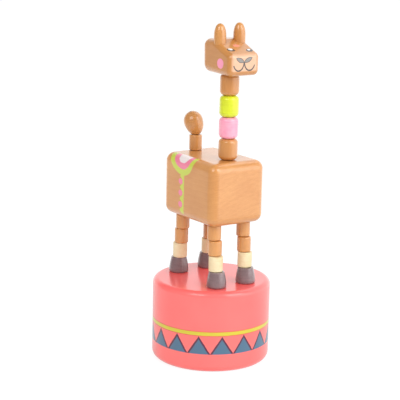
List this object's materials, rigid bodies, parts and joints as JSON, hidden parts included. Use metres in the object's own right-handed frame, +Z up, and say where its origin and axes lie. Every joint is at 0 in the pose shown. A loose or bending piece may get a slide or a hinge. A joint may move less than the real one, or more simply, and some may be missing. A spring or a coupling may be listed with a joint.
{
  "type": "push puppet",
  "caption": "Wooden push puppet: a jointed llama on a hollow drum. Pressing the button under the drum slackens the cords and the figure folds; the spring draws it upright.",
  "frame": {"origin": "centre of the drum's foot", "axes": "+Z up along the drum's axis; the llama faces -Y, its right side is on -X"},
  "size_m": [0.05, 0.05, 0.1439],
  "materials": {
    "coral_lacquer": "glossy coral lacquer on turned wood",
    "tan_lacquer": "satin-gloss tan lacquer on wood, fine grain showing",
    "cream_paint": "matt cream paint on wood",
    "mauve_paint": "satin grey-mauve paint on wood",
    "yellow_paint": "glossy lemon paint on wood",
    "pink_paint": "glossy pink paint on wood",
    "bare_wood": "plain sanded wood",
    "cotton_cord": "twisted cotton cord",
    "spring_steel": "drawn spring wire"
  },
  "bodies": {
    "base": {"base_drum": "coral_lacquer", "hoof_front_right": "mauve_paint", "hoof_front_left": "mauve_paint", "hoof_rear_right": "mauve_paint", "hoof_rear_left": "mauve_paint", "return_spring": "spring_steel", "cord_front_right": "cotton_cord", "cord_front_left": "cotton_cord", "cord_rear_right": "cotton_cord", "cord_rear_left": "cotton_cord"},
    "button": {"push_button": "bare_wood"},
    "cuff_front_right": {"cuff_front_right": "cream_paint"},
    "lower_leg_front_right": {"lower_leg_front_right": "tan_lacquer"},
    "upper_leg_front_right": {"upper_leg_front_right": "tan_lacquer"},
    "torso": {"torso": "tan_lacquer"},
    "cuff_front_left": {"cuff_front_left": "cream_paint"},
    "lower_leg_front_left": {"lower_leg_front_left": "tan_lacquer"},
    "upper_leg_front_left": {"upper_leg_front_left": "tan_lacquer"},
    "cuff_rear_right": {"cuff_rear_right": "cream_paint"},
    "lower_leg_rear_right": {"lower_leg_rear_right": "tan_lacquer"},
    "upper_leg_rear_right": {"upper_leg_rear_right": "tan_lacquer"},
    "cuff_rear_left": {"cuff_rear_left": "cream_paint"},
    "lower_leg_rear_left": {"lower_leg_rear_left": "tan_lacquer"},
    "upper_leg_rear_left": {"upper_leg_rear_left": "tan_lacquer"},
    "neck_bead_bottom": {"neck_bead_bottom": "tan_lacquer"},
    "neck_bead_pink": {"neck_bead_pink": "pink_paint"},
    "neck_bead_yellow": {"neck_bead_yellow": "yellow_paint"},
    "neck_bead_top": {"neck_bead_top": "tan_lacquer"},
    "head": {"head": "tan_lacquer", "head_peg": "bare_wood", "ear_right": "tan_lacquer", "ear_left": "tan_lacquer"},
    "tail_bead": {"tail_bead": "tan_lacquer"},
    "tail_knob": {"tail_knob": "tan_lacquer", "tail_peg": "bare_wood"}
  },
  "joints": [
    {"name": "button_press", "type": "slide", "parent": "base", "child": "button", "axis": [0, 0, 1], "range_m": [0, 0.009], "stiffness_N_per_m": 440, "springref_m": -0.007, "deforming": ["return_spring", "cord_front_right", "cord_front_left", "cord_rear_right", "cord_rear_left"]},
    {"name": "cuff_front_right_rock", "type": "hinge", "parent": "base", "child": "cuff_front_right", "pos_m": [-0.0074, -0.01633, 0.04155], "axis": [1, 0, 0], "range_deg": [0, 55]},
    {"name": "lower_leg_front_right_rock", "type": "hinge", "parent": "cuff_front_right", "child": "lower_leg_front_right", "pos_m": [-0.0074, -0.01506, 0.04805], "axis": [1, 0, 0], "range_deg": [0, 6]},
    {"name": "upper_leg_front_right_rock", "type": "hinge", "parent": "lower_leg_front_right", "child": "upper_leg_front_right", "pos_m": [-0.0074, -0.01023, 0.05455], "axis": [1, 0, 0], "range_deg": [-16, 0]},
    {"name": "torso_rock", "type": "hinge", "parent": "cuff_front_right", "child": "torso", "pos_m": [-0.0074, -0.00877, 0.06079], "axis": [1, 0, 0], "range_deg": [-64.2, 0]},
    {"name": "cuff_front_left_rock", "type": "hinge", "parent": "base", "child": "cuff_front_left", "pos_m": [0.0074, -0.01633, 0.04155], "axis": [1, 0, 0], "range_deg": [0, 55]},
    {"name": "lower_leg_front_left_rock", "type": "hinge", "parent": "cuff_front_left", "child": "lower_leg_front_left", "pos_m": [0.0074, -0.01506, 0.04805], "axis": [1, 0, 0], "range_deg": [0, 6]},
    {"name": "upper_leg_front_left_rock", "type": "hinge", "parent": "lower_leg_front_left", "child": "upper_leg_front_left", "pos_m": [0.0074, -0.01023, 0.05455], "axis": [1, 0, 0], "range_deg": [-16, 0]},
    {"name": "cuff_rear_right_rock", "type": "hinge", "parent": "base", "child": "cuff_rear_right", "pos_m": [-0.0074, 0.011, 0.04155], "axis": [1, 0, 0], "range_deg": [0, 58.98]},
    {"name": "lower_leg_rear_right_rock", "type": "hinge", "parent": "cuff_rear_right", "child": "lower_leg_rear_right", "pos_m": [-0.0074, 0.01061, 0.04805], "axis": [1, 0, 0], "range_deg": [0, 5.33]},
    {"name": "upper_leg_rear_right_rock", "type": "hinge", "parent": "lower_leg_rear_right", "child": "upper_leg_rear_right", "pos_m": [-0.0074, 0.01422, 0.05455], "axis": [1, 0, 0], "range_deg": [-16, 0]},
    {"name": "cuff_rear_left_rock", "type": "hinge", "parent": "base", "child": "cuff_rear_left", "pos_m": [0.0074, 0.011, 0.04155], "axis": [1, 0, 0], "range_deg": [0, 58.98]},
    {"name": "lower_leg_rear_left_rock", "type": "hinge", "parent": "cuff_rear_left", "child": "lower_leg_rear_left", "pos_m": [0.0074, 0.01061, 0.04805], "axis": [1, 0, 0], "range_deg": [0, 5.33]},
    {"name": "upper_leg_rear_left_rock", "type": "hinge", "parent": "lower_leg_rear_left", "child": "upper_leg_rear_left", "pos_m": [0.0074, 0.01422, 0.05455], "axis": [1, 0, 0], "range_deg": [-16, 0]},
    {"name": "neck_bead_bottom_nod", "type": "hinge", "parent": "torso", "child": "neck_bead_bottom", "pos_m": [0, -0.01258, 0.08755], "axis": [1, 0, 0], "range_deg": [0, 12.5]},
    {"name": "neck_bead_pink_nod", "type": "hinge", "parent": "neck_bead_bottom", "child": "neck_bead_pink", "pos_m": [0, -0.0125, 0.0965], "axis": [1, 0, 0], "range_deg": [0, 12.5]},
    {"name": "neck_bead_yellow_nod", "type": "hinge", "parent": "neck_bead_pink", "child": "neck_bead_yellow", "pos_m": [0, -0.0125, 0.10545], "axis": [1, 0, 0], "range_deg": [0, 12.5]},
    {"name": "neck_bead_top_nod", "type": "hinge", "parent": "neck_bead_yellow", "child": "neck_bead_top", "pos_m": [0, -0.0125, 0.1144], "axis": [1, 0, 0], "range_deg": [0, 12.5]},
    {"name": "head_nod", "type": "hinge", "parent": "neck_bead_top", "child": "head", "pos_m": [0, -0.01258, 0.12335], "axis": [1, 0, 0], "range_deg": [0, 12.5]},
    {"name": "tail_bead_tip", "type": "hinge", "parent": "torso", "child": "tail_bead", "pos_m": [0, 0.01665, 0.08755], "axis": [1, 0, 0], "range_deg": [-36, 0]},
    {"name": "tail_knob_tip", "type": "hinge", "parent": "tail_bead", "child": "tail_knob", "pos_m": [0, 0.016, 0.0942], "axis": [1, 0, 0], "range_deg": [-46, 0]}
  ],
  "couplings": [
    {"joint": "cuff_front_right_rock", "follows": "button_press", "rad_per_m": 106.66},
    {"joint": "lower_leg_front_right_rock", "follows": "button_press", "rad_per_m": 11.636},
    {"joint": "upper_leg_front_right_rock", "follows": "button_press", "rad_per_m": -31.028},
    {"joint": "torso_rock", "follows": "button_press", "rad_per_m": -124.5},
    {"joint": "cuff_front_left_rock", "follows": "button_press", "rad_per_m": 106.66},
    {"joint": "lower_leg_front_left_rock", "follows": "button_press", "rad_per_m": 11.636},
    {"joint": "upper_leg_front_left_rock", "follows": "button_press", "rad_per_m": -31.028},
    {"joint": "cuff_rear_right_rock", "follows": "button_press", "rad_per_m": 114.38},
    {"joint": "lower_leg_rear_right_rock", "follows": "button_press", "rad_per_m": 10.336},
    {"joint": "upper_leg_rear_right_rock", "follows": "button_press", "rad_per_m": -31.028},
    {"joint": "cuff_rear_left_rock", "follows": "button_press", "rad_per_m": 114.38},
    {"joint": "lower_leg_rear_left_rock", "follows": "button_press", "rad_per_m": 10.336},
    {"joint": "upper_leg_rear_left_rock", "follows": "button_press", "rad_per_m": -31.028},
    {"joint": "neck_bead_bottom_nod", "follows": "button_press", "rad_per_m": 24.241},
    {"joint": "neck_bead_pink_nod", "follows": "button_press", "rad_per_m": 24.241},
    {"joint": "neck_bead_yellow_nod", "follows": "button_press", "rad_per_m": 24.241},
    {"joint": "neck_bead_top_nod", "follows": "button_press", "rad_per_m": 24.241},
    {"joint": "head_nod", "follows": "button_press", "rad_per_m": 24.241},
    {"joint": "tail_bead_tip", "follows": "button_press", "rad_per_m": -69.813},
    {"joint": "tail_knob_tip", "follows": "button_press", "rad_per_m": -89.206}
  ]
}
